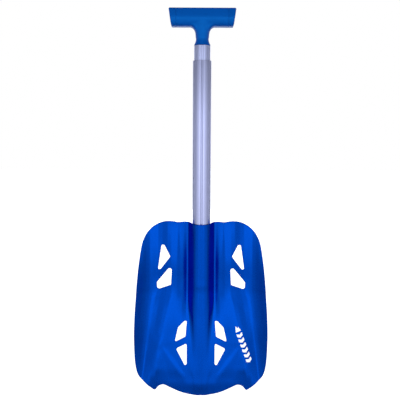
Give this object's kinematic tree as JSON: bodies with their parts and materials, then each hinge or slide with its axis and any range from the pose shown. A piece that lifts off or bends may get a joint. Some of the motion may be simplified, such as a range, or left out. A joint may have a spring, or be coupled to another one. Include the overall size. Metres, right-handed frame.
{
  "type": "avalanche shovel",
  "caption": "Telescopic avalanche shovel: pressed blue anodised aluminium blade with a welded socket, grooved two-stage aluminium shaft with sprung lock buttons, moulded T-grip.",
  "frame": {"origin": "on the shaft's centre line, level with the blade's tip", "axes": "+Z along the shaft from the blade's tip to the grip, +Y towards the blade's back, +X to the right when looking at the scoop side"},
  "size_m": [0.2222, 0.0496, 0.6337],
  "materials": {
    "blade_anodised": "blue anodised, fine brushed, satin",
    "socket_anodised": "blue anodised, satin",
    "weld": "welded, anodised over, dull",
    "shaft_aluminium": "satin anodised, slightly violet grey",
    "rivet_aluminium": "satin",
    "grip_plastic": "moulded, fine texture",
    "black_plastic": "moulded",
    "button_steel": "polished",
    "spring_steel": "rolled strip"
  },
  "bodies": {
    "blade_body": {"blade": "blade_anodised", "socket_channel": "socket_anodised", "socket_weld_left": "weld", "socket_weld_right": "weld"},
    "lower_shaft": {"lower_shaft_tube": "shaft_aluminium", "lower_end_plug": "black_plastic", "lower_button_spring": "spring_steel"},
    "lower_lock": {"lower_button": "button_steel"},
    "upper_shaft": {"upper_shaft_tube": "shaft_aluminium", "upper_guide_plug": "black_plastic", "upper_button_spring": "spring_steel", "grip_body": "grip_plastic", "grip_end_cap_left": "grip_plastic", "grip_end_cap_right": "grip_plastic", "grip_rivet": "rivet_aluminium"},
    "upper_lock": {"upper_button": "button_steel"}
  },
  "joints": [
    {"name": "shaft_release", "type": "slide", "parent": "blade_body", "child": "lower_shaft", "axis": [0, 0, 1], "range_m": [0, 0.11], "deforming": ["lower_button"]},
    {"name": "shaft_telescope", "type": "slide", "parent": "lower_shaft", "child": "upper_shaft", "axis": [0, 0, 1], "range_m": [0, 0.212], "deforming": ["upper_button"]},
    {"name": "lower_button_press", "type": "slide", "parent": "lower_shaft", "child": "lower_lock", "axis": [0, -1, 0], "range_m": [0, 0.0048], "stiffness_N_per_m": 1200, "springref_m": -0.002, "deforming": ["lower_button_spring"]},
    {"name": "upper_button_press", "type": "slide", "parent": "upper_shaft", "child": "upper_lock", "axis": [0, -1, 0], "range_m": [0, 0.0045], "stiffness_N_per_m": 1200, "springref_m": -0.002, "deforming": ["upper_button_spring"]}
  ]
}
